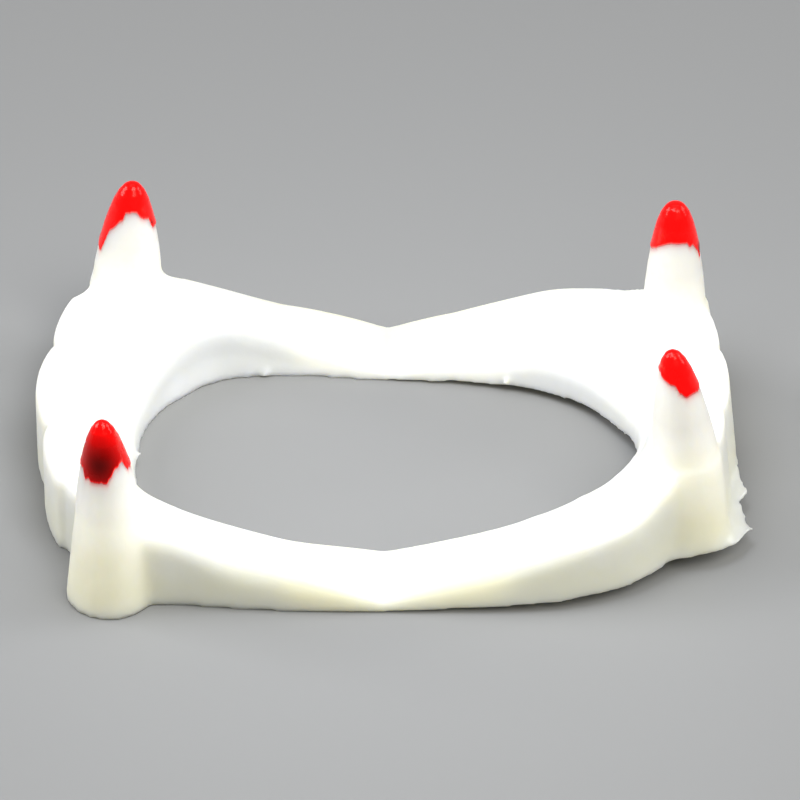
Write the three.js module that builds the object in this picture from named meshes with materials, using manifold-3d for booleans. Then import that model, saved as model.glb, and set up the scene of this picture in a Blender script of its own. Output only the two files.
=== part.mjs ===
// Vampire fang denture: a soft plastic moulding that lies open with its fangs up.
// The upper arch reaches to -X and the lower arch to +X; a thin fold across Y joins them.
// All sizes are millimetres, with +Z up and the upper arch standing on Z = 0.

import * as THREE from 'three';
import { mergeVertices } from 'three/addons/utils/BufferGeometryUtils.js';
import Module from 'manifold-3d';

// Fold
const foldSpan = 54;          // outer width over both bridges
const bridgeWidth = 9.3;      // width of one bridge
const webThickness = 1.3;     // plastic left in the bottom of the V notch
const foldGap = 0.3;          // parting gap in the fold
const restLift = 3.1;         // degrees that the lower arch stands up by itself

// Plastic and paint
const coat = 0.4;             // red paint on the fang tips
const coatGap = 0.3;          // clearance between the paint and the plastic
const pocketDepth = 2.5;      // how far the trough's cutter starts below the rim

// Fangs
const fangSides = 16;         // facets round a fang
const tipRadius = 0.25;       // thinnest ring that closes a fang's tip
const ledge = 0.3;            // step from the root in to the crown

// Rows run along half an arch, from the fold to the middle of the bite.
// Shares: outX and outY place the outer wall along the reach and across half the fold's span,
// inX and inY the rim of the mouth opening, outTop and inTop raise the top edges from the web to
// the full wall. fall is the power by which the top drops inwards, and steps the facets to the next row.
// rootX and rootY place the fang's root by the same shares as outX and outY.
const upper = {
  toFront: -1,
  reach: 40,                  // fold to the notches between the front teeth
  openReach: 29.3,            // fold to the end of the mouth opening
  wall: 1.7,                  // moulded wall around the tooth trough
  wallHeight: 11.1,
  edgeRound: 1.2,             // round along the outer top edge
  lipRound: 1.1,              // round along the mouth opening
  flare: 0.1,                 // draft of the outer wall at its foot
  toothBulge: 1.1,            // how far each front tooth stands proud of the notches
  teethToBack: 1.2,           // how far the row of front teeth sits towards +Y
  crownRadius: 4.05,
  crownHeight: 13.5,
  rootRadius: 4.75,           // fang root at the rim it stands on
  rootX: 0.79,
  rootY: 0.894,
  crownToFold: 0.4,           // crown centre, from the root's towards the fold
  crownToMiddle: 0.25,        // crown centre, from the root's towards the middle line
  rows: [
    { outX: 0.00, outY: 1.000, inX: 0.000, inY: 1.000, outTop: 0.000, inTop: 0.00, fall: 1.0, steps: 2 },
    { outX: 0.12, outY: 0.998, inX: 0.157, inY: 1.028, outTop: 0.200, inTop: 0.13, fall: 1.0, steps: 2 },
    { outX: 0.27, outY: 0.990, inX: 0.355, inY: 1.062, outTop: 0.440, inTop: 0.27, fall: 1.0, steps: 2 },
    { outX: 0.42, outY: 0.974, inX: 0.532, inY: 1.050, outTop: 0.650, inTop: 0.40, fall: 1.1, steps: 2 },
    { outX: 0.57, outY: 0.950, inX: 0.683, inY: 1.000, outTop: 0.850, inTop: 0.50, fall: 1.2, steps: 2 },
    { outX: 0.70, outY: 0.935, inX: 0.812, inY: 0.847, outTop: 0.990, inTop: 0.49, fall: 1.2, steps: 2 },
    { outX: 0.82, outY: 0.840, inX: 0.918, inY: 0.633, outTop: 1.000, inTop: 0.34, fall: 1.3, steps: 2 },
    { outX: 0.92, outY: 0.670, inX: 0.976, inY: 0.412, outTop: 1.000, inTop: 0.16, fall: 1.6, steps: 5 },
    { outX: 0.98, outY: 0.285, inX: 0.996, inY: 0.200, outTop: 1.000, inTop: 0.09, fall: 2.0, steps: 5 },
    { outX: 1.00, outY: 0.000, inX: 1.000, inY: 0.000, outTop: 1.000, inTop: 0.07, fall: 2.1, steps: 0 },
  ],
};

const lower = {
  toFront: 1,
  reach: 39.8,
  openReach: 29.3,
  wall: 1.4,
  wallHeight: 11.6,
  edgeRound: 1.1,
  lipRound: 0.8,
  flare: 0.6,
  toothBulge: 0.8,
  teethToBack: 0,
  crownRadius: 3.85,
  crownHeight: 14.2,
  rootRadius: 4.0,
  rootX: 0.897,
  rootY: 0.567,
  crownToFold: 0.8,
  crownToMiddle: 0.45,
  rows: [
    { outX: 0.00, outY: 1.000, inX: 0.000, inY: 1.000, outTop: 0.000, inTop: 0.00, fall: 1.0, steps: 2 },
    { outX: 0.16, outY: 0.993, inX: 0.215, inY: 0.966, outTop: 0.190, inTop: 0.09, fall: 1.0, steps: 2 },
    { outX: 0.34, outY: 0.985, inX: 0.457, inY: 0.893, outTop: 0.380, inTop: 0.16, fall: 1.1, steps: 2 },
    { outX: 0.50, outY: 0.963, inX: 0.659, inY: 0.785, outTop: 0.540, inTop: 0.21, fall: 1.3, steps: 2 },
    { outX: 0.63, outY: 0.911, inX: 0.799, inY: 0.633, outTop: 0.640, inTop: 0.20, fall: 1.3, steps: 2 },
    { outX: 0.73, outY: 0.840, inX: 0.881, inY: 0.491, outTop: 0.750, inTop: 0.15, fall: 1.3, steps: 2 },
    { outX: 0.82, outY: 0.720, inX: 0.939, inY: 0.339, outTop: 0.980, inTop: 0.10, fall: 1.5, steps: 2 },
    { outX: 0.94, outY: 0.570, inX: 0.976, inY: 0.200, outTop: 1.000, inTop: 0.08, fall: 1.8, steps: 5 },
    { outX: 0.99, outY: 0.222, inX: 0.996, inY: 0.090, outTop: 1.000, inTop: 0.07, fall: 2.0, steps: 5 },
    { outX: 1.00, outY: 0.000, inX: 1.000, inY: 0.000, outTop: 1.000, inTop: 0.06, fall: 2.1, steps: 0 },
  ],
};

// The trough for the wearer's teeth starts and ends at this row on each side
const troughRow = 1.9;

// Crown outline from base to tip: radius as a share of the crown's radius, height of its height
const crownRows = [
  { height: 0.00, radius: 1.00 },
  { height: 0.20, radius: 0.93 },
  { height: 0.40, radius: 0.83 },
  { height: 0.57, radius: 0.72 },
  { height: 0.71, radius: 0.60 },
  { height: 0.82, radius: 0.49 },
  { height: 0.91, radius: 0.36 },
  { height: 0.97, radius: 0.22 },
  { height: 1.00, radius: 0.08 },
];

// Each fang, in shares of its crown's height: how far the tip leans towards the front of its arch and
// away from the middle line, and how far the red paint reaches down from the tip
const fangs = [
  { name: 'upper_front', arch: upper, side: -1, leanFront: 0.022, leanOut: -0.015, paint: 0.53 },
  { name: 'upper_back', arch: upper, side: 1, leanFront: -0.067, leanOut: 0.007, paint: 0.46 },
  { name: 'lower_front', arch: lower, side: -1, leanFront: -0.070, leanOut: -0.035, paint: 0.32 },
  { name: 'lower_back', arch: lower, side: 1, leanFront: 0.021, leanOut: 0.021, paint: 0.37 },
];

const halfSpan = foldSpan / 2;
const wasm = await Module();
wasm.setup();

function solidFrom(geometry) {
  const bare = geometry.clone();
  bare.deleteAttribute('normal');
  bare.deleteAttribute('uv');
  const merged = mergeVertices(bare);
  const mesh = new wasm.Mesh({
    numProp: 3,
    vertProperties: new Float32Array(merged.attributes.position.array),
    triVerts: new Uint32Array(merged.index.array),
  });
  return new wasm.Manifold(mesh);
}

function geometryFrom(solid) {
  const mesh = solid.getMesh();
  const geometry = new THREE.BufferGeometry();
  geometry.setAttribute('position', new THREE.BufferAttribute(mesh.vertProperties, 3));
  geometry.setIndex(new THREE.BufferAttribute(mesh.triVerts, 1));
  geometry.computeVertexNormals();
  return geometry;
}

// Skins a row of equal rings and closes both ends; turned swaps the side that faces out
function loft(rings, turned) {
  const sides = rings[0].length;
  const positions = rings.flat().flatMap((point) => [point.x, point.y, point.z]);
  const triangles = [];
  const addTriangle = (a, b, c) => triangles.push(...(turned ? [a, c, b] : [a, b, c]));
  for (let ring = 0; ring + 1 < rings.length; ring += 1) {
    for (let side = 0; side < sides; side += 1) {
      const next = (side + 1) % sides;
      const here = ring * sides;
      const there = here + sides;
      addTriangle(here + side, here + next, there + next);
      addTriangle(here + side, there + next, there + side);
    }
  }
  for (const [ring, start] of [[0, true], [rings.length - 1, false]]) {
    const centre = rings[ring].reduce((sum, point) => sum.add(point), new THREE.Vector3());
    centre.divideScalar(sides);
    const centreIndex = positions.length / 3;
    positions.push(centre.x, centre.y, centre.z);
    for (let side = 0; side < sides; side += 1) {
      const edge = [ring * sides + side, ring * sides + ((side + 1) % sides)];
      addTriangle(centreIndex, ...(start ? edge.reverse() : edge));
    }
  }
  const geometry = new THREE.BufferGeometry();
  geometry.setAttribute('position', new THREE.Float32BufferAttribute(positions, 3));
  geometry.setIndex(triangles);
  return solidFrom(geometry);
}

// One place on the arch: plan points of the outer wall and the opening's rim, with their top heights.
// Rows count from 0 at the fold on the far side, over the middle of the bite, to the fold on the near side.
function archLines(arch) {
  const halfRows = arch.rows.length - 1;
  const outer = [];
  const inner = [];
  for (let row = 0; row <= 2 * halfRows; row += 1) {
    const share = arch.rows[Math.min(row, 2 * halfRows - row)];
    const side = Math.sign(halfRows - row);
    const toBack = arch.teethToBack * THREE.MathUtils.smoothstep(Math.min(row, 2 * halfRows - row), 4.5, 7);
    const outX = arch.toFront * (foldGap / 2 + share.outX * (arch.reach - foldGap / 2));
    const inX = arch.toFront * (foldGap / 2 + share.inX * (arch.openReach - foldGap / 2));
    const rise = arch.wallHeight - webThickness;
    const outY = side * share.outY * halfSpan + toBack;
    outer.push(new THREE.Vector3(outX, outY, webThickness + share.outTop * rise));
    inner.push(new THREE.Vector3(inX, side * share.inY * (halfSpan - bridgeWidth),
      webThickness + share.inTop * rise));
  }
  const outerLine = new THREE.CatmullRomCurve3(outer, false, 'centripetal');
  const innerLine = new THREE.CatmullRomCurve3(inner, false, 'centripetal');
  return { outerLine, innerLine, halfRows };
}

// How far the front teeth stand proud: a wide one over the middle line and one beside it on each side
function toothProfile(arch, halfRow, halfRows) {
  const fromMiddle = halfRows - halfRow;
  if (fromMiddle >= 2) return 0;
  const across = fromMiddle < 1 ? fromMiddle : 2 * fromMiddle - 3;
  return arch.toothBulge * Math.max(0, 1 - across * across) ** 0.6;
}

function station(arch, lines, row) {
  const { outerLine, innerLine, halfRows } = lines;
  const halfRow = Math.min(row, 2 * halfRows - row);
  const outer = outerLine.getPoint(row / (2 * halfRows));
  const inner = innerLine.getPoint(row / (2 * halfRows));
  const before = arch.rows[Math.floor(halfRow)];
  const after = arch.rows[Math.min(halfRows, Math.floor(halfRow) + 1)];
  const fall = THREE.MathUtils.lerp(before.fall, after.fall, halfRow % 1);
  const inwards = new THREE.Vector3(inner.x - outer.x, inner.y - outer.y, 0).normalize();
  const proud = toothProfile(arch, halfRow, halfRows);
  const width = Math.hypot(inner.x - outer.x, inner.y - outer.y) + proud;
  const foot = new THREE.Vector3(outer.x, outer.y, 0).addScaledVector(inwards, -proud);
  const drop = outer.z - inner.z;
  return {
    width,
    outTop: outer.z,
    inTop: inner.z,
    top: (across) => outer.z - drop * (across / width) ** fall,
    slope: (across) => (drop * fall / width) * (across / width) ** (fall - 1),
    place: (across, height) => foot.clone().addScaledVector(inwards, across).setZ(height),
  };
}

// Rows of all stations, closer together over the front teeth
function stationRows(arch) {
  const halfRows = arch.rows.length - 1;
  const half = [];
  arch.rows.slice(0, halfRows).forEach((row, index) => {
    for (let step = 0; step < row.steps; step += 1) {
      half.push(index + step / row.steps);
    }
  });
  return [...half, halfRows, ...half.map((row) => 2 * halfRows - row).reverse()];
}

function archRing(arch, lines, row) {
  const at = station(arch, lines, row);
  const edge = Math.min(arch.edgeRound, 0.45 * at.outTop);
  const lip = Math.min(arch.lipRound, 0.45 * at.inTop);
  const flare = arch.flare * at.outTop / arch.wallHeight;
  const lipStart = at.width - lip;
  const lipTop = at.top(lipStart);
  const ring = [
    at.place(-flare, 0),
    at.place(0, at.outTop - edge),
    at.place(0.134 * edge, at.outTop - 0.5 * edge),
    at.place(0.5 * edge, at.outTop - 0.134 * edge),
  ];
  for (const share of [0, 0.25, 0.5, 0.75, 1]) {
    const across = THREE.MathUtils.lerp(edge, lipStart, share);
    ring.push(at.place(across, at.top(across)));
  }
  ring.push(at.place(at.width - 0.25 * lip, 0.25 * lipTop + 0.75 * at.inTop - 0.25 * lip));
  ring.push(at.place(at.width, at.inTop - lip));
  ring.push(at.place(at.width, 0));
  return ring;
}

// The trough follows the top surface one wall below it and is open at the rim
function troughRing(arch, lines, row) {
  const at = station(arch, lines, row);
  const { wall } = arch;
  const ring = [at.place(wall, -pocketDepth)];
  for (const share of [0, 0.2, 0.4, 0.6, 0.8, 1]) {
    const across = THREE.MathUtils.lerp(wall, at.width - wall, share);
    const ceiling = at.top(across) - wall * Math.hypot(1, at.slope(across));
    ring.push(at.place(across, Math.max(ceiling, 0.2 * wall)));
  }
  ring.push(at.place(at.width - wall, -pocketDepth));
  return ring;
}

// Centre of one fang's root on the rim, of its crown on the wall's top, and its tip
function fangAxis(fang) {
  const { arch, side } = fang;
  const root = new THREE.Vector3(arch.toFront * arch.rootX * arch.reach, side * arch.rootY * halfSpan, 0);
  const crown = root.clone();
  crown.x -= arch.toFront * arch.crownToFold;
  crown.y -= side * arch.crownToMiddle;
  crown.z = arch.wallHeight;
  const tip = crown.clone();
  tip.x += arch.toFront * fang.leanFront * arch.crownHeight;
  tip.y += side * fang.leanOut * arch.crownHeight;
  tip.z += arch.crownHeight;
  return { root, crown, tip };
}

function circle(centre, radius) {
  return Array.from({ length: fangSides }, (_, index) => {
    const angle = (2 * Math.PI * index) / fangSides;
    return new THREE.Vector3(Math.cos(angle), Math.sin(angle), 0).multiplyScalar(radius).add(centre);
  });
}

// The pointed crown of a fang, thinned all over by inset
function crownSolid(fang, inset) {
  const { arch } = fang;
  const { crown, tip } = fangAxis(fang);
  const thinTip = tip.clone().lerp(crown, inset / arch.crownHeight);
  const rows = crownRows.filter((row) => arch.crownRadius * row.radius > inset + tipRadius);
  const foot = crown.clone().setZ(crown.z - arch.wall);
  const rings = rows.map((row) => circle(
    crown.clone().lerp(thinTip, row.height),
    arch.crownRadius * row.radius - inset,
  ));
  return loft([circle(foot, arch.crownRadius - inset), ...rings], false);
}

// The fang's root: a tapered column on the outside of the wall, with a small ledge under the crown
function rootSolid(fang) {
  const { arch } = fang;
  const { root, crown } = fangAxis(fang);
  const shoulder = root.clone().lerp(crown, 1 - ledge / arch.wallHeight);
  return loft([
    circle(root, arch.rootRadius),
    circle(shoulder, arch.crownRadius + ledge),
    circle(crown, arch.crownRadius),
  ], false);
}

// Everything of a fang that lies above the paint's lower edge
function aboveEdge(fang, edgeShift) {
  const size = foldSpan;
  const { tip } = fangAxis(fang);
  const paintEdge = tip.z - fang.paint * fang.arch.crownHeight;
  const box = new THREE.BoxGeometry(size, size, size);
  box.translate(tip.x, tip.y, paintEdge + edgeShift + size / 2);
  return solidFrom(box);
}

function plasticFang(fang) {
  const bare = crownSolid(fang, 0).subtract(aboveEdge(fang, -coatGap));
  return bare.add(crownSolid(fang, coat + coatGap)).add(rootSolid(fang));
}

function paintedTip(fang) {
  return crownSolid(fang, 0).intersect(aboveEdge(fang, 0)).subtract(crownSolid(fang, coat));
}

function hollowArch(arch) {
  const lines = archLines(arch);
  const turned = arch.toFront < 0;
  const rows = stationRows(arch);
  const body = loft(rows.map((row) => archRing(arch, lines, row)), turned);
  const troughRows = rows.filter((row) => row >= troughRow && row <= 2 * lines.halfRows - troughRow);
  return body.subtract(loft(troughRows.map((row) => troughRing(arch, lines, row)), turned));
}

function withFangs(arch) {
  return fangs
    .filter((fang) => fang.arch === arch)
    .reduce((solid, fang) => solid.add(plasticFang(fang)), hollowArch(arch));
}

const plastic = new THREE.MeshStandardMaterial({ color: 0xf1eee2, roughness: 0.38, metalness: 0 });
const redPaint = new THREE.MeshStandardMaterial({ color: 0xd40a08, roughness: 0.2, metalness: 0 });

function named(name, solid, material) {
  const mesh = new THREE.Mesh(geometryFrom(solid), material);
  mesh.name = name;
  return mesh;
}

function archGroup(name, arch) {
  const group = new THREE.Group();
  group.add(named(name, withFangs(arch), plastic));
  for (const fang of fangs.filter((entry) => entry.arch === arch)) {
    group.add(named(`red_tip_${fang.name}`, paintedTip(fang), redPaint));
  }
  return group;
}

// The lower arch is lifted about the fold line in the top of the web
function liftedAboutFold(group) {
  const pivot = new THREE.Group();
  pivot.position.z = webThickness;
  pivot.rotation.y = -THREE.MathUtils.degToRad(restLift);
  group.position.z = -webThickness;
  pivot.add(group);
  return pivot;
}

const denture = new THREE.Group();
denture.add(archGroup('upper_arch', upper));
denture.add(liftedAboutFold(archGroup('lower_arch', lower)));

// The middle of the whole length stands over the origin
denture.updateMatrixWorld(true);
const extent = new THREE.Box3().setFromObject(denture, true);
denture.position.x = -(extent.min.x + extent.max.x) / 2;
denture.position.y = -(extent.min.y + extent.max.y) / 2;

export default denture;
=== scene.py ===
import math
import bpy
import bmesh
from mathutils import Matrix, Vector, noise


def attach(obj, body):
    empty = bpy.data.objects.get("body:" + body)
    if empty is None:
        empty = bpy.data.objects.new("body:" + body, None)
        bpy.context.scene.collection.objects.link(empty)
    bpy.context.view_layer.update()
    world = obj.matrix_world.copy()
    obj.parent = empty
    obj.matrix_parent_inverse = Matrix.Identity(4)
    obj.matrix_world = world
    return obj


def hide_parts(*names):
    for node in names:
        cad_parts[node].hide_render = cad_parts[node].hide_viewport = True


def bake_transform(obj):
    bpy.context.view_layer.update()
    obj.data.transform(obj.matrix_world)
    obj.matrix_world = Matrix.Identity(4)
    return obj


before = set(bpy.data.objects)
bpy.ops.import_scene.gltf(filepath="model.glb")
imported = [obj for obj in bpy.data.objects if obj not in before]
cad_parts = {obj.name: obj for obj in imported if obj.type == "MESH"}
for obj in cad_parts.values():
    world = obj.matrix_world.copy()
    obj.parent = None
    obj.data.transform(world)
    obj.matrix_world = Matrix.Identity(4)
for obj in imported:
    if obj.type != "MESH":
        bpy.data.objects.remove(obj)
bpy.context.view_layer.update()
mm = 0.001  # sizes below are in millimetres, finished pieces in metres
scene = bpy.context.scene

view = {
    "elevation": 36.0,  # degrees above the floor
    "azimuth": 0.34,  # degrees round from straight in front
    "roll": -0.125,
    "distance": 650.0,
    "target": (1.53, 13.68, 0.0),
    "lens": 244.2,
    "sensor": 36.0,
    "clip": (0.01, 20.0),  # metres
}


def addCamera():
    tilt, turn = math.radians(view["elevation"]), math.radians(view["azimuth"])
    back = Vector((math.sin(turn) * math.cos(tilt), -math.cos(turn) * math.cos(tilt), math.sin(tilt)))
    right = Vector((0, 0, 1)).cross(back).normalized()
    facing = Matrix((right, back.cross(right), back)).transposed().to_4x4()
    data = bpy.data.cameras.new("photo view")
    data.lens, data.sensor_width = view["lens"], view["sensor"]
    data.clip_start, data.clip_end = view["clip"]
    camera = bpy.data.objects.new("photo view", data)
    place = (Vector(view["target"]) + back * view["distance"]) * mm
    rolled = Matrix.Rotation(math.radians(view["roll"]), 4, "Z")
    camera.matrix_world = Matrix.Translation(place) @ facing @ rolled
    scene.collection.objects.link(camera)
    scene.camera = camera


addCamera()
print("camera is in place")

fold = {
    "span": 54.6,  # over both bridges
    "bridge": 10.0,  # width of one bridge
    "nearWider": 0.35,  # the near side is this much wider each way
    "web": 1.3,  # plastic left in the bottom of the V notch
    "overlap": 0.3,  # each arch runs this far past the fold line
    "overlapRows": 0.4,  # and is back in its own shape this far along its first row
    "lift": 3.1,  # degrees that the lower arch stands up
    "shift": -0.009,  # the finished pieces stand this far along X, on the frame's fold line
}

# rows run from the fold to the middle of the bite:
# (outX, outY, inX, inY, outTop, inTop, fall), shares of the reach, half the span and the wall's height
upperArch = {
    "side": -1,
    "reach": 40.0,
    "openReach": 29.3,
    "wall": 1.7,  # plastic round the tooth trough
    "height": 11.1,
    "edgeRound": (3.6, 1.4),  # along the outer top edge, by the fold and by the teeth
    "lipRound": 2.8,  # along the mouth opening
    "flare": 0.1,
    "toothBulge": 1.1,
    "teethBack": 2.8,  # the row of teeth sits this far towards the back
    "rimRag": 0.0,  # how rough the opening's trimmed rim is
    "rows": [
        (0.00, 1.000, 0.000, 1.000, 0.000, 0.00, 1.0),
        (0.12, 0.998, 0.157, 1.028, 0.240, 0.15, 1.0),
        (0.27, 0.990, 0.355, 1.062, 0.520, 0.30, 1.1),
        (0.42, 0.974, 0.532, 1.050, 0.750, 0.43, 1.2),
        (0.57, 0.950, 0.683, 1.000, 0.930, 0.52, 1.2),
        (0.70, 0.935, 0.812, 0.847, 0.990, 0.49, 1.2),
        (0.82, 0.840, 0.918, 0.633, 1.000, 0.34, 1.3),
        (0.92, 0.670, 0.976, 0.412, 1.000, 0.16, 1.6),
        (0.98, 0.285, 0.996, 0.200, 1.000, 0.09, 2.0),
        (1.00, 0.000, 1.000, 0.000, 1.000, 0.07, 2.1),
    ],
}

lowerArch = {
    "side": 1,
    "reach": 39.8,
    "openReach": 29.3,
    "wall": 1.4,
    "height": 11.6,
    "edgeRound": (2.2, 0.6),
    "lipRound": 2.0,
    "flare": 0.6,
    "toothBulge": 0.7,
    "teethBack": 0.0,
    "rimRag": 0.35,
    "rows": [
        (0.00, 1.000, 0.000, 1.000, 0.000, 0.00, 1.0),
        (0.16, 0.993, 0.215, 0.966, 0.245, 0.08, 1.0),
        (0.34, 0.985, 0.457, 0.893, 0.450, 0.15, 1.1),
        (0.50, 0.963, 0.655, 0.775, 0.610, 0.20, 1.3),
        (0.63, 0.911, 0.785, 0.623, 0.660, 0.20, 1.3),
        (0.73, 0.840, 0.867, 0.481, 0.710, 0.16, 1.3),
        (0.82, 0.720, 0.930, 0.335, 0.920, 0.10, 1.5),
        (0.94, 0.570, 0.976, 0.200, 1.000, 0.08, 1.8),
        (0.99, 0.222, 0.996, 0.090, 1.000, 0.07, 2.0),
        (1.00, 0.000, 1.000, 0.000, 1.000, 0.06, 2.1),
    ],
}

skin = {
    "stepsPerRow": 11,
    "troughStart": 1.9,  # row where the trough for the teeth begins
    "troughRamp": 0.35,  # share of a row that it takes to reach its full depth
    "softRows": (2.5, 5.5),  # rows between which the outer edge goes from soft to crisp
    "backRows": (4.5, 7.0),  # rows between which the front teeth move towards the back
    "ragRows": (1.5, 3.0),  # rows between which the opening's rim gets rough
    "nearSofter": 0.5,  # share by which the near side's outer edge is rounder
    "mostRound": (0.5, 0.62),  # the rounds take at most this share of the outer and of the inner wall's height
    "nearRound": 0.12,  # and the near side this much more
    "lean": 0.12,  # the opening's wall leans back by this share of its height
    "leastRoof": 0.2,  # the trough's roof is never lower than this share of the wall
    "voxel": 0.385,
    "smoothing": 3,
    "rootSmoothing": 10,  # more where the fangs' roots run into the walls
    "blendHeights": (0.8, 1.5),  # the blend starts this far over the floor and ends this far over the wall
    "blendWidth": 2.4,  # and reaches this far past the root
}

# how many steps each stretch of a section takes
sectionSteps = {"outside": 9, "turn": 6, "top": 14, "inside": 4, "troughSide": 6, "troughTop": 12}

# crown outline from base to tip: share of the crown's height and of its radius
crownOutline = [
    (0.00, 1.00), (0.20, 0.93), (0.40, 0.83), (0.57, 0.72), (0.71, 0.60),
    (0.82, 0.49), (0.91, 0.36), (0.97, 0.22), (0.995, 0.10), (1.00, 0.0),
]

# root and crown stand in millimetres from the fold, and lean is how far the tip stands off over the crown's
# foot; taper above 1 narrows the crown sooner, and ledge is the step from the root in to the crown;
# paint gives how far below the tip the red reaches, by the direction round the fang (0 is +X, -90 in front),
# and poolAndShade where the red is darker, pooled paint and on the near left fang painted shade: its
# direction, its depth below the tip and its size
fangs = {
    "upper_front": {
        "arch": upperArch,
        "root": (-31.25, -23.85),
        "rootRadius": 5.2,
        "crown": (-31.15, -23.9),
        "crownRadius": 3.9,
        "taper": 1.08,
        "ledge": 0.08,
        "crownHeight": 13.1,
        "lean": (-0.4, 0.2),
        "ragged": 0.3,
        # painted shade: on this fang the dark patch is the middle of its front, where less light falls
        "poolAndShade": (-100, 4.5, 3.6),
        "paint": {-152: 5.6, -136: 6.5, -98: 6.6, -85: 6.6, -69: 5.6, -62: 5.0, -36: 4.7, -21: 5.8, 10: 6.2,
                  90: 5.8},
    },
    "upper_back": {
        "arch": upperArch,
        "root": (-31.6, 24.14),
        "rootRadius": 4.75,
        "crown": (-31.28, 23.95),
        "crownRadius": 4.2,
        "taper": 1.0,
        "ledge": 0.3,
        "crownHeight": 13.2,
        "lean": (1.0, 0.1),
        "ragged": 0.12,
        "poolAndShade": (-30, 5.0, 0.7),
        "paint": {-159: 8.8, -138: 5.3, -111: 3.9, -103: 2.9, -71: 2.9, -54: 3.8, -32: 4.2, -22: 5.6, 20: 6.2,
                  100: 5.4, 165: 8.0},
    },
    "lower_front": {
        "arch": lowerArch,
        "root": (35.25, -15.35),
        "rootRadius": 4.55,
        "crown": (34.9, -14.86),
        "crownRadius": 3.8,
        "taper": 1.0,
        "ledge": 0.3,
        "crownHeight": 13.85,
        "lean": (-1.15, 0.5),
        "ragged": 0.12,
        "poolAndShade": (160, 2.4, 0.8),
        "paint": {-161: 2.3, -130: 2.9, -93: 3.4, -81: 4.3, -66: 4.85, -52: 4.7, -20: 4.95, 30: 4.8,
                  120: 3.2},
    },
    "lower_back": {
        "arch": lowerArch,
        "root": (35.9, 15.31),
        "rootRadius": 4.3,
        "crown": (34.65, 14.86),
        "crownRadius": 3.75,
        "taper": 0.82,
        "ledge": 0.3,
        "crownHeight": 13.97,
        "lean": (0.5, 0.3),
        "ragged": 0.05,
        "poolAndShade": (-10, 6.0, 0.8),
        "paint": {-189: 6.0, -100: 4.05, -60: 4.2, -49: 4.9, -41: 4.8, -21: 6.0, -18: 7.1, -8: 6.1,
                  60: 5.3},
    },
}

# facets round a fang, steps up its root and its crown, and the height over which its ledge slopes inwards
fangBody = {"sides": 56, "rootSteps": 6, "crownSteps": 40, "ledgeSlope": 0.45}


def smoothStep(low, high, value):
    share = min(1.0, max(0.0, (value - low) / (high - low)))
    return share * share * (3 - 2 * share)


def through(values, place):  # a smooth line through evenly spaced values
    first = min(int(place), len(values) - 2)
    t = place - first
    at = lambda index: values[min(max(index, 0), len(values) - 1)]
    a, b, c, d = at(first - 1), at(first), at(first + 1), at(first + 2)
    straight = 2 * b + (c - a) * t
    bent = (2 * a - 5 * b + 4 * c - d) * t * t
    return 0.5 * (straight + bent + (3 * b - a - 3 * c + d) * t ** 3)


def meshObject(name, bm):
    mesh = bpy.data.meshes.new(name)
    bm.to_mesh(mesh)
    bm.free()
    made = bpy.data.objects.new(name, mesh)
    scene.collection.objects.link(made)
    return made


def liftLower(bm):  # the lower arch stands up about the fold line in the top of the web
    up = Matrix.Translation((0, 0, fold["web"])) @ Matrix.Rotation(-math.radians(fold["lift"]), 4, "Y")
    bmesh.ops.transform(bm, matrix=up @ Matrix.Translation((0, 0, -fold["web"])), verts=bm.verts)


def stationAt(arch, place):
    rows = arch["rows"]
    last = len(rows) - 1
    half = fold["span"] / 2
    whole = rows + rows[-2::-1]
    sides = [1] * last + [0] + [-1] * last
    read = lambda column: through([row[column] for row in whole], place)
    signed = lambda column: through([row[column] * side for row, side in zip(whole, sides)], place)
    fromFold, fromMiddle = min(place, 2 * last - place), abs(last - place)
    pastFold = fold["overlap"] * (1 - smoothStep(0, fold["overlapRows"], fromFold))
    outer = Vector((read(0) * arch["reach"] - pastFold, signed(1) * half))
    inner = Vector((read(2) * arch["openReach"] - pastFold, signed(3) * (half - fold["bridge"])))
    outer.x *= arch["side"]
    inner.x *= arch["side"]
    outer.y += arch["teethBack"] * smoothStep(*skin["backRows"], fromFold)
    near = smoothStep(last, last + 2, place)
    outer.y -= fold["nearWider"] * near
    inner.y += fold["nearWider"] * near
    inwards = (inner - outer).normalized()
    # the middle tooth spans the two middle rows, and the tooth on each side of it one row
    across = fromMiddle if fromMiddle < 1 else 2 * fromMiddle - 3
    proud = arch["toothBulge"] * max(0.0, 1 - across * across) ** 0.5 if fromMiddle < 2 else 0.0
    rise = arch["height"] - fold["web"]
    return {
        "foot": outer - inwards * proud,
        "inwards": inwards,
        "width": (inner - outer).length + proud,
        "outTop": fold["web"] + read(4) * rise,
        "inTop": fold["web"] + read(5) * rise,
        "fall": read(6),
        "fromFold": fromFold,
        "near": near,
        "place": place,
    }


def rimRagAt(arch, at):
    lumps = max(0, noise.noise((at["place"] * 2.3, 4.0, 0)))
    return arch["rimRag"] * lumps * smoothStep(*skin["ragRows"], at["fromFold"])


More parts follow.
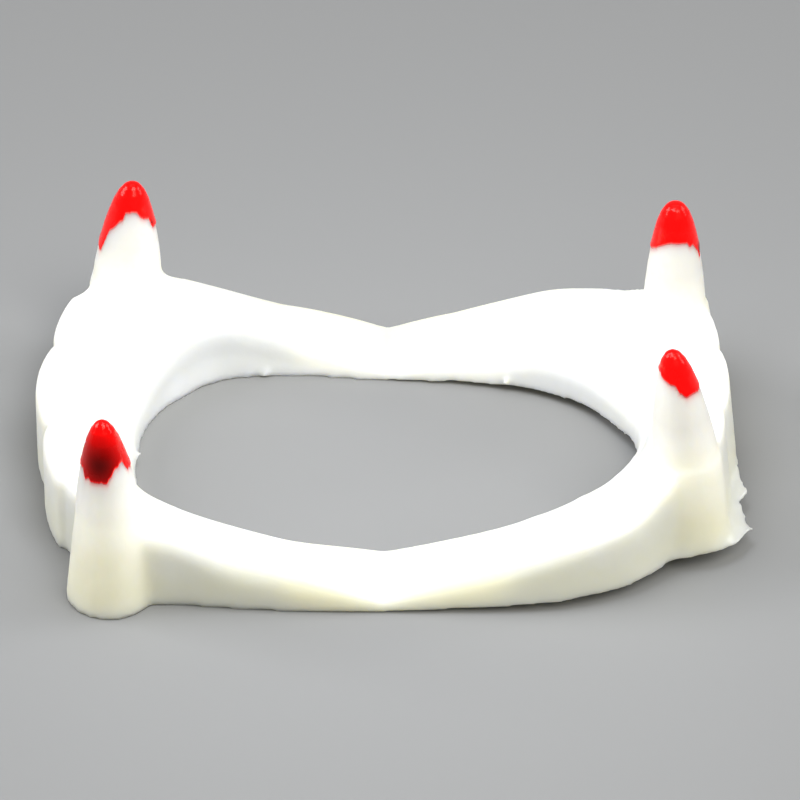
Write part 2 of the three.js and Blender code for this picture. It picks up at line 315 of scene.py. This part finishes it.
def sectionPoints(arch, at):  # (across, height) once round the section, trough included
    width, outTop, inTop, fall = at["width"], at["outTop"], at["inTop"], at["fall"]
    byFold, byTeeth = arch["edgeRound"]
    softness = byFold + (byTeeth - byFold) * smoothStep(*skin["softRows"], at["fromFold"])
    softness *= 1 + skin["nearSofter"] * at["near"]
    outerMost, innerMost = skin["mostRound"]
    edge = min(softness, (outerMost + skin["nearRound"] * at["near"]) * outTop)
    lip = min(arch["lipRound"], innerMost * inTop)
    flare, wall = arch["flare"] * outTop / arch["height"], arch["wall"]
    drop = outTop - inTop
    top = lambda across: outTop - drop * (across / width) ** fall
    slope = lambda across: drop * fall / width * (across / width) ** (fall - 1)
    shoulder = lambda across: math.sqrt(1 - max(0.0, 1 - across / edge) ** 2)
    rolled = lambda across: min(top(across), outTop - edge + (top(edge) - outTop + edge) * shoulder(across))
    depth = smoothStep(skin["troughStart"], skin["troughStart"] + skin["troughRamp"], at["fromFold"])
    roof = lambda across: rolled(across) - wall * math.hypot(1, slope(across))
    ceiling = lambda across: depth * max(skin["leastRoof"] * wall, roof(across))
    rag, draft = rimRagAt(arch, at), skin["lean"] * inTop

    steps = sectionSteps["outside"]
    points = [(-flare * (1 - i / steps), (outTop - edge) * i / steps) for i in range(steps)]
    turns = [math.pi / 2 * i / sectionSteps["turn"] for i in range(sectionSteps["turn"] + 1)]
    for turn in turns:
        high = outTop - edge + (top(edge) - outTop + edge) * math.sin(turn)
        points.append((edge * (1 - math.cos(turn)), high))
    steps = sectionSteps["top"]
    for i in range(1, steps):
        across = edge + (width - draft - lip - edge) * i / steps
        points.append((across, top(across)))
    for turn in turns:
        high = inTop - lip + (top(width - lip) - inTop + lip) * math.cos(turn)
        points.append((width - draft + rag - lip + lip * math.sin(turn), high))
    steps = sectionSteps["inside"]
    for i in range(1, steps + 1):
        left = 1 - i / steps
        points.append((width - draft * left + rag * left, (inTop - lip) * left))
    steps = sectionSteps["troughSide"]
    points += [(width - wall, ceiling(width - wall) * i / steps) for i in range(steps + 1)]
    for i in range(1, sectionSteps["troughTop"]):
        across = width - wall - (width - 2 * wall) * i / sectionSteps["troughTop"]
        points.append((across, ceiling(across)))
    points += [(wall, ceiling(wall) * (1 - i / steps)) for i in range(steps + 1)]
    return points


def mouldArch(name, arch):
    last = 2 * (len(arch["rows"]) - 1)
    along = last * skin["stepsPerRow"]
    stations = [stationAt(arch, last * i / along) for i in range(along + 1)]
    sections = [sectionPoints(arch, at) for at in stations]
    around = len(sections[0])
    bm = bmesh.new()
    # a flat sheet, rolled into the arch
    bmesh.ops.create_grid(bm, x_segments=along, y_segments=around, size=0.5)
    for vert in bm.verts:
        here = round((vert.co.x + 0.5) * along)
        across, height = sections[here][round((vert.co.y + 0.5) * around) % around]
        spot = stations[here]["foot"] + stations[here]["inwards"] * across
        vert.co = (spot.x, spot.y, height)
    bmesh.ops.remove_doubles(bm, verts=bm.verts, dist=0.0005)
    bmesh.ops.holes_fill(bm, edges=bm.edges, sides=0)
    bmesh.ops.recalc_face_normals(bm, faces=bm.faces)
    if arch is lowerArch:
        liftLower(bm)
    return meshObject(name, bm)


def crownRadiusAt(fang, share):
    for (low, wide), (high, narrow) in zip(crownOutline, crownOutline[1:]):
        if share <= high:
            wide += (narrow - wide) * (share - low) / (high - low)
            return fang["crownRadius"] * wide ** fang["taper"]
    return 0.0


def spunBody(outline, steps, leanAt):  # outline is (radius, height); leanAt gives the axis at a height
    bm = bmesh.new()
    verts = [bm.verts.new((radius, 0, height)) for radius, height in outline]
    edges = [bm.edges.new(pair) for pair in zip(verts, verts[1:])]
    bmesh.ops.spin(bm, geom=verts + edges, cent=(0, 0, 0), axis=(0, 0, 1), dvec=(0, 0, 0),
                   angle=2 * math.pi, steps=steps, use_merge=True, use_duplicate=False)
    bmesh.ops.remove_doubles(bm, verts=bm.verts, dist=0.0005)
    bmesh.ops.holes_fill(bm, edges=bm.edges, sides=0)
    bmesh.ops.recalc_face_normals(bm, faces=bm.faces)
    for vert in bm.verts:
        vert.co += leanAt(vert.co.z)
    return bm


def fangAxis(fang):
    root, crown, lean = Vector(fang["root"]), Vector(fang["crown"]), Vector(fang["lean"])
    height = fang["arch"]["height"]

    def axisAt(z):
        if z < height:
            spot = root.lerp(crown, max(0.0, z / height))
        else:
            spot = crown + lean * ((z - height) / fang["crownHeight"])
        return Vector((spot.x, spot.y, 0))
    return axisAt


def mouldFang(name, fang):
    height, foot = fang["arch"]["height"], fang["rootRadius"]
    rootTop = fang["crownRadius"] + fang["ledge"]
    rootSteps, crownSteps = fangBody["rootSteps"], fangBody["crownSteps"]
    outline = [(0, 0), (foot, 0)]
    for i in range(1, rootSteps + 1):
        outline.append((foot + (rootTop - foot) * i / rootSteps, height * i / rootSteps))
    outline[-1] = (outline[-1][0], height - fangBody["ledgeSlope"])
    for i in range(crownSteps + 1):
        outline.append((crownRadiusAt(fang, i / crownSteps), height + fang["crownHeight"] * i / crownSteps))
    bm = spunBody(outline, fangBody["sides"], fangAxis(fang))
    if fang["arch"] is lowerArch:
        liftLower(bm)
    return meshObject(name, bm)


def paintDepth(fang, angle):  # how deep the red reaches below the tip in one direction
    marks = sorted(fang["paint"].items())
    marks = [(marks[-1][0] - 360, marks[-1][1])] + marks + [(marks[0][0] + 360, marks[0][1])]
    while angle > marks[-1][0]:
        angle -= 360
    while angle < marks[0][0]:
        angle += 360
    for (low, fromDepth), (high, toDepth) in zip(marks, marks[1:]):
        if angle <= high:
            depth = fromDepth + (toDepth - fromDepth) * smoothStep(low, high, angle)
            turn = math.radians(angle)
            wave = noise.noise((6 * math.cos(turn), 6 * math.sin(turn), fang["root"][1]))
            fine = noise.noise((14 * math.cos(turn), 14 * math.sin(turn), fang["root"][0]))
            return depth + fang["ragged"] * (wave + 0.7 * fine)
    return marks[-1][1]


def joined(name, parts):
    bm = bmesh.new()
    for part in parts:
        bm.from_mesh(part.data)
        bpy.data.objects.remove(part)
    return meshObject(name, bm)


def byRoot(spot):  # is this on the blend between a fang's root and the walls?
    overFloor, overWall = skin["blendHeights"]
    for fang in fangs.values():
        off = spot.xy - Vector(fang["root"])
        level = overFloor < spot.z < fang["arch"]["height"] + overWall
        if level and off.length < fang["rootRadius"] + skin["blendWidth"]:
            return True
    return False


def remeshed(made):
    modifier = made.modifiers.new("one skin", "REMESH")
    modifier.mode, modifier.voxel_size = "VOXEL", skin["voxel"]
    settled = made.evaluated_get(bpy.context.evaluated_depsgraph_get())
    made.data = bpy.data.meshes.new_from_object(settled)
    made.modifiers.clear()
    bm = bmesh.new()
    bm.from_mesh(made.data)
    blended = [vert for vert in bm.verts if byRoot(vert.co)]
    everyAxis = {"use_axis_x": True, "use_axis_y": True, "use_axis_z": True}
    for verts, passes in ((bm.verts, skin["smoothing"]), (blended, skin["rootSmoothing"])):
        for _ in range(passes):
            bmesh.ops.smooth_vert(bm, verts=verts, factor=0.5, **everyAxis)
    bm.to_mesh(made.data)
    bm.free()
    return made


marks = {
    "inner": 10.0,  # painted light: a wall that faces the opening is marked this high, so it is painted paler, as light from across falls on it
    "facing": (0.1, 0.7),  # how squarely it faces the opening, from not at all to fully
    "stainReach": 11.0,  # the pink fringe is looked for this far below a tip
    "stainRadius": 6.0,  # and this far from the fang's axis
    "stainFade": 0.3,
}


def markMoulding(mesh):  # each point's height when lying open, which the plastic's painted shade reads, raised on walls that face the opening for painted light, and a pink fringe just under the paint
    lowered = Matrix.Translation((0, 0, fold["web"])) @ Matrix.Rotation(math.radians(fold["lift"]), 4, "Y")
    lowered = lowered @ Matrix.Translation((0, 0, -fold["web"]))
    rise = mesh.attributes.new("rise", "FLOAT", "POINT")
    stain = mesh.attributes.new("stain", "FLOAT", "POINT")
    for vert in mesh.vertices:
        spot = lowered @ vert.co if vert.co.x > 0 else vert.co
        facing = vert.normal.xy.dot(-vert.co.xy.normalized())
        # painted light: walls that face the opening read as higher up, so they are painted paler
        rise.data[vert.index].value = max(spot.z, marks["inner"] * smoothStep(*marks["facing"], facing))
    for fang in fangs.values():
        axisAt, tip = fangAxis(fang), fang["arch"]["height"] + fang["crownHeight"]
        for vert in mesh.vertices:
            spot = lowered @ vert.co if fang["arch"] is lowerArch else vert.co
            if tip - spot.z > marks["stainReach"]:
                continue
            off = spot - axisAt(spot.z)
            if off.x ** 2 + off.y ** 2 > marks["stainRadius"] ** 2:
                continue
            below = tip - spot.z - paintDepth(fang, math.degrees(math.atan2(off.y, off.x)))
            stain.data[vert.index].value = math.exp(-max(0, below) / marks["stainFade"])


def intoMetres(made):
    made.data.transform(Matrix.Translation((fold["shift"] * mm, 0, 0)) @ Matrix.Scale(mm, 4))
    made.data.polygons.foreach_set("use_smooth", [True] * len(made.data.polygons))
    made.data.update()


# the ragged skirt left along the lower arch's foot, and small burrs on the opening's rim
flash = {
    "edge": [
        (23.6, -24.6), (25.8, -23.9), (28.2, -22.8), (30.0, -21.6), (31.6, -20.5), (32.7, -20.4),
        (35.6, -20.1), (38.9, -19.0), (41.0, -17.2), (42.3, -15.0), (41.8, -13.7), (41.1, -10.0),
        (42.1, -7.9), (41.5, -5.4), (41.2, -2.2), (40.4, 2.0),
    ],
    "cuts": 7,  # between two points of the edge
    "towards": (31.0, -8.0),
    "reach": 0.22,  # share of the way there that the skirt reaches in
    "thickness": 0.55,
    "ragged": 0.28,
    "lumps": (1.1, 3.1),  # scale of the coarse and of the fine rag
    "fineShare": 0.8,
    "burrs": [((-29.0, 0.8, 1.6), 0.35), ((-14.7, 18.2, 0.5), 0.45), ((14.1, 14.8, 1.8), 0.4)],  # place, size
}


def mouldFlash():
    bm = bmesh.new()
    verts = [bm.verts.new((*spot, 0)) for spot in flash["edge"]]
    edges = [bm.edges.new(pair) for pair in zip(verts, verts[1:])]
    bmesh.ops.subdivide_edges(bm, edges=edges, cuts=flash["cuts"])
    coarse, fine = flash["lumps"]
    for vert in bm.verts:
        outwards = (vert.co.xy - Vector(flash["towards"])).normalized()
        rag = noise.noise(vert.co * coarse) + flash["fineShare"] * noise.noise(vert.co * fine)
        vert.co.xy += outwards * (flash["ragged"] * rag)
    towards = Vector((*flash["towards"], 0))
    grown = bmesh.ops.extrude_edge_only(bm, edges=bm.edges[:])
    for vert in [item for item in grown["geom"] if isinstance(item, bmesh.types.BMVert)]:
        vert.co = vert.co.lerp(towards, flash["reach"])
    grown = bmesh.ops.extrude_face_region(bm, geom=bm.faces[:])
    raised = [item for item in grown["geom"] if isinstance(item, bmesh.types.BMVert)]
    bmesh.ops.translate(bm, vec=(0, 0, flash["thickness"]), verts=raised)
    bmesh.ops.recalc_face_normals(bm, faces=bm.faces)
    liftLower(bm)
    return meshObject("flash", bm)


def mouldBurrs():
    bm = bmesh.new()
    for spot, size in flash["burrs"]:
        bmesh.ops.create_icosphere(bm, subdivisions=2, radius=size, matrix=Matrix.Translation(spot))
    return meshObject("burrs", bm)


parts = [mouldArch("upper half", upperArch), mouldArch("lower half", lowerArch), mouldFlash(), mouldBurrs()]
parts += [mouldFang(name, fang) for name, fang in fangs.items()]
moulding = remeshed(joined("fang_moulding", parts))
markMoulding(moulding.data)
intoMetres(moulding)
print("moulding:", len(moulding.data.polygons), "faces")

coat = {
    "thickness": 0.07,
    "bead": 0.03,  # the coat's edge is this much thicker
    "beadAt": (0.35, 0.25),  # the bead's distance from the edge and its width
    "sunk": 0.3,  # past its edge the sheet goes this deep into the plastic
    "sinks": (-0.25, 0.0),  # distances from the edge over which it sinks
    "rises": (-0.05, 0.25),  # and over which the coat reaches its thickness
    "thinEdge": 0.35,  # the paint is see-through up to this far from its edge
    "poolShadeEdge": 0.4,
    "past": 1.2,  # how far the sheet runs on below the deepest paint
    "steps": 128,
    "rows": 72,
}


def paintTip(name, fang):
    top = fang["arch"]["height"] + fang["crownHeight"]
    deepest = max(fang["paint"].values()) + coat["past"]
    depths = [deepest * i / coat["rows"] for i in range(coat["rows"], -1, -1)]
    outline = [(crownRadiusAt(fang, 1 - depth / fang["crownHeight"]), top - depth) for depth in depths]
    bm = spunBody(outline, coat["steps"], lambda z: Vector((0, 0, 0)))
    bm.normal_update()
    thickAndShade = bm.verts.layers.float.new("thickAndShade")
    # a darker patch of the red: pooled paint, and painted shade on the near left fang
    poolShadeAngle, poolShadeDepth, poolShadeSize = fang["poolAndShade"]
    beadAt, beadWidth = coat["beadAt"]
    for vert in bm.verts:
        angle = math.degrees(math.atan2(vert.co.y, vert.co.x))
        inside = paintDepth(fang, angle) - (top - vert.co.z)
        rise = coat["thickness"] + coat["bead"] * math.exp(-((inside - beadAt) / beadWidth) ** 2)
        sunk = coat["sunk"] * (1 - smoothStep(*coat["sinks"], inside))
        lift = rise * smoothStep(*coat["rises"], inside) - sunk
        turnOff = math.radians((angle - poolShadeAngle + 180) % 360 - 180) * max(1.0, vert.co.xy.length)
        pooledAndShaded = math.exp(-(turnOff ** 2 + (top - vert.co.z - poolShadeDepth) ** 2) / poolShadeSize ** 2)
        pooledAndShaded *= smoothStep(0.0, coat["poolShadeEdge"], inside)
        vert[thickAndShade] = 0.5 * (smoothStep(0, coat["thinEdge"], inside) + pooledAndShaded)
        vert.co += vert.normal * lift
    axisAt = fangAxis(fang)
    for vert in bm.verts:
        vert.co += axisAt(vert.co.z)
    if fang["arch"] is lowerArch:
        liftLower(bm)
    made = meshObject("red_paint_" + name, bm)
    intoMetres(made)
    return made


paintedTips = {name: paintTip(name, fang) for name, fang in fangs.items()}
print("paint:", {name: len(tip.data.polygons) for name, tip in paintedTips.items()})


def unevennessGroup():  # slow lumps and fine specks, shared by the plastic and the paint
    group = bpy.data.node_groups.new("moulded unevenness", "ShaderNodeTree")
    for name in ("Lump scale", "Speck scale", "Speck share"):
        group.interface.new_socket(name=name, in_out="INPUT", socket_type="NodeSocketFloat")
    group.interface.new_socket(name="Vector", in_out="INPUT", socket_type="NodeSocketVector")
    group.interface.new_socket(name="Height", in_out="OUTPUT", socket_type="NodeSocketFloat")
    group.interface.new_socket(name="Mottle", in_out="OUTPUT", socket_type="NodeSocketFloat")
    taken, given = group.nodes.new("NodeGroupInput"), group.nodes.new("NodeGroupOutput")
    lumps, specks = group.nodes.new("ShaderNodeTexNoise"), group.nodes.new("ShaderNodeTexNoise")
    mix = group.nodes.new("ShaderNodeMix")
    link = group.links.new
    lumps.inputs["Detail"].default_value, specks.inputs["Detail"].default_value = 3, 4
    for tex, scale in ((lumps, "Lump scale"), (specks, "Speck scale")):
        link(taken.outputs["Vector"], tex.inputs["Vector"])
        link(taken.outputs[scale], tex.inputs["Scale"])
    link(taken.outputs["Speck share"], mix.inputs["Factor"])
    link(lumps.outputs["Fac"], mix.inputs["A"])
    link(specks.outputs["Fac"], mix.inputs["B"])
    link(mix.outputs["Result"], given.inputs["Height"])
    link(lumps.outputs["Fac"], given.inputs["Mottle"])
    return group


unevenness = unevennessGroup()


def startMaterial(name, look):
    material = bpy.data.materials.new(name)
    material.use_nodes = True
    nodes, link = material.node_tree.nodes, material.node_tree.links.new
    shader = nodes["Principled BSDF"]
    kinds = ("ShaderNodeTexCoord", "ShaderNodeGroup", "ShaderNodeBump")
    where, grain, bump = (nodes.new(kind) for kind in kinds)
    grain.node_tree = unevenness
    for socket, value in look["uneven"].items():
        grain.inputs[socket].default_value = value
    link(where.outputs["Object"], grain.inputs["Vector"])
    link(grain.outputs["Height"], bump.inputs["Height"])
    link(bump.outputs["Normal"], shader.inputs["Normal"])
    bump.inputs["Strength"].default_value = look["bump"]
    bump.inputs["Distance"].default_value = look["bumpDepth"]
    return material, nodes, link, shader, grain


def mapped(nodes, link, source, taken, given):  # the range taken in becomes the range given out
    node = nodes.new("ShaderNodeMapRange")
    link(source, node.inputs["Value"])
    node.inputs["From Min"].default_value, node.inputs["From Max"].default_value = taken
    node.inputs["To Min"].default_value, node.inputs["To Max"].default_value = given
    return node.outputs["Result"]


def mixedColour(nodes, link, share, first, second):
    node = nodes.new("ShaderNodeMix")
    node.data_type = "RGBA"
    link(share, node.inputs["Factor"])
    for socket, value in ((node.inputs[6], first), (node.inputs[7], second)):
        if isinstance(value, tuple):
            socket.default_value = (*value, 1)
        else:
            link(value, socket)
    return node.outputs[2]


noiseRange = (0.3, 0.7)  # where nearly all of a noise texture's values lie

plastic = {
    "pale": (0.93, 0.925, 0.885),
    "shadedFoot": (0.80, 0.78, 0.61),  # painted shade: the plastic is painted darker and warmer towards its foot
    "footShadeHeights": (3.0, 15.0),  # millimetres over which it gets paler, as the painted shade fades
    "palest": 0.9,
    "mottle": (-0.12, 0.15),
    "crown": (0.72, 0.715, 0.695),  # painted shade: the fangs are painted greyer, for the light that goes through them
    "crownHeights": (11.5, 17.0),
    "stain": (0.80, 0.30, 0.30),
    "uneven": {"Lump scale": 170.0, "Speck scale": 1500.0, "Speck share": 0.35},
    "bump": 0.25,
    "bumpDepth": 0.00012,
    "roughness": (0.30, 0.46),
    "throughShare": 0.9,
    "throughColour": (1.0, 0.92, 0.7),  # red light goes furthest through the plastic
    "throughDepth": 0.0055,
    "bending": 1.5,
}


def softPlastic():
    material, nodes, link, shader, grain = startMaterial("soft white plastic", plastic)
    height, stain = nodes.new("ShaderNodeAttribute"), nodes.new("ShaderNodeAttribute")
    height.attribute_name, stain.attribute_name = "rise", "stain"
    # painted shade by height: darker and warmer low down, paler higher up; the mottle adds random tone
    lighten = nodes.new("ShaderNodeMath")
    lighten.operation = "ADD"
    rise = mapped(nodes, link, height.outputs["Fac"], plastic["footShadeHeights"], (0.0, plastic["palest"]))
    link(rise, lighten.inputs[0])
    link(mapped(nodes, link, grain.outputs["Mottle"], noiseRange, plastic["mottle"]), lighten.inputs[1])
    body = mixedColour(nodes, link, lighten.outputs["Value"], plastic["shadedFoot"], plastic["pale"])
    # painted shade: the crowns turn greyer above the walls
    onCrown = mapped(nodes, link, height.outputs["Fac"], plastic["crownHeights"], (0.0, 1.0))
    body = mixedColour(nodes, link, onCrown, body, plastic["crown"])
    body = mixedColour(nodes, link, stain.outputs["Fac"], body, plastic["stain"])
    link(body, shader.inputs["Base Color"])
    rough = mapped(nodes, link, grain.outputs["Height"], noiseRange, plastic["roughness"])
    link(rough, shader.inputs["Roughness"])
    shader.inputs["Subsurface Weight"].default_value = plastic["throughShare"]
    shader.inputs["Subsurface Radius"].default_value = plastic["throughColour"]
    shader.inputs["Subsurface Scale"].default_value = plastic["throughDepth"]
    shader.inputs["IOR"].default_value = plastic["bending"]
    return material


paint = {
    "thin": (0.90, 0.16, 0.15),
    "red": (1.0, 0.002, 0.002),
    "poolShadeRed": (0.09, 0.0, 0.0),  # where the paint has pooled, and painted shade on the near left fang's front
    "covers": (0.05, 0.35),  # marks of thickness from see-through to full red
    "poolShadeRange": (0.55, 1.0),  # and from there to dark: pooled paint and painted shade
    "uneven": {"Lump scale": 420.0, "Speck scale": 2600.0, "Speck share": 0.3},
    "bump": 0.5,
    "bumpDepth": 0.0001,
    "roughness": (0.14, 0.34),
    "shine": 0.25,
    "shineTint": (1.0, 0.22, 0.18),
    "varnish": 0.2,
    "varnishRoughness": 0.05,
}


def glossPaint():
    material, nodes, link, shader, grain = startMaterial("gloss red paint", paint)
    thickAndShade = nodes.new("ShaderNodeAttribute")
    thickAndShade.attribute_name = "thickAndShade"
    covered = mapped(nodes, link, thickAndShade.outputs["Fac"], paint["covers"], (0.0, 1.0))
    pooledAndShaded = mapped(nodes, link, thickAndShade.outputs["Fac"], paint["poolShadeRange"], (0.0, 1.0))
    brushed = mixedColour(nodes, link, covered, paint["thin"], paint["red"])
    link(mixedColour(nodes, link, pooledAndShaded, brushed, paint["poolShadeRed"]), shader.inputs["Base Color"])
    rough = mapped(nodes, link, grain.outputs["Mottle"], noiseRange, paint["roughness"])
    link(rough, shader.inputs["Roughness"])
    shader.inputs["Specular IOR Level"].default_value = paint["shine"]
    shader.inputs["Specular Tint"].default_value = (*paint["shineTint"], 1)
    shader.inputs["Coat Weight"].default_value = paint["varnish"]
    shader.inputs["Coat Roughness"].default_value = paint["varnishRoughness"]
    return material


moulding.data.materials.append(softPlastic())
redPaint = glossPaint()
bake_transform(moulding)
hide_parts("upper_arch", "lower_arch")
for name, tip in paintedTips.items():
    tip.data.materials.append(redPaint)
    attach(tip, name.split("_")[0])
    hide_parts("red_tip_" + name)
print("materials are on and the pieces ride")

studio = {
    "floor": (0.222, 0.226, 0.233),
    "floorRoughness": 0.7,
    "floorSize": 3.0,
    "room": 0.27,
    # (place, aimed at, size, watts, colour), in metres
    "lamps": {
        "left": ((-0.80, 0.12, 0.50), (0, 0, 0), 0.5, 6.9, (1, 1, 1)),
        "right": ((0.80, 0.18, 0.50), (0, 0, 0), 0.5, 4.0, (1, 1, 1)),
        "top": ((0.0, 0.25, 0.90), (0, 0, 0), 0.7, 1.0, (1, 1, 1)),
        "front": ((0.3, -0.50, 0.80), (0, 0, 0), 0.6, 7.0, (1.0, 0.975, 0.88)),
        "near": ((0.0, -0.02, 0.12), (0, 0.02, 0), 0.06, 0.10, (0.95, 0.975, 1.0)),
    },
}


def addFloor():
    bm = bmesh.new()
    bmesh.ops.create_grid(bm, x_segments=1, y_segments=1, size=studio["floorSize"])
    floor = meshObject("floor", bm)
    material = bpy.data.materials.new("pale floor")
    material.use_nodes = True
    shader = material.node_tree.nodes["Principled BSDF"]
    shader.inputs["Base Color"].default_value = (*studio["floor"], 1)
    shader.inputs["Roughness"].default_value = studio["floorRoughness"]
    floor.data.materials.append(material)


def addLamps():
    world = bpy.data.worlds.new("soft room")
    world.use_nodes = True
    world.node_tree.nodes["Background"].inputs["Color"].default_value = (1, 1, 1, 1)
    world.node_tree.nodes["Background"].inputs["Strength"].default_value = studio["room"]
    scene.world = world
    for name, (place, aim, size, watts, colour) in studio["lamps"].items():
        data = bpy.data.lights.new(name, "AREA")
        data.size, data.energy, data.color = size, watts, colour
        lamp = bpy.data.objects.new(name, data)
        lamp.location, lamp.visible_camera = place, False
        lamp.rotation_euler = (Vector(aim) - Vector(place)).to_track_quat("-Z", "Y").to_euler()
        scene.collection.objects.link(lamp)


addFloor()
addLamps()
scene.view_settings.view_transform = "Standard"
scene.view_settings.exposure = 0.0
print("studio is lit")
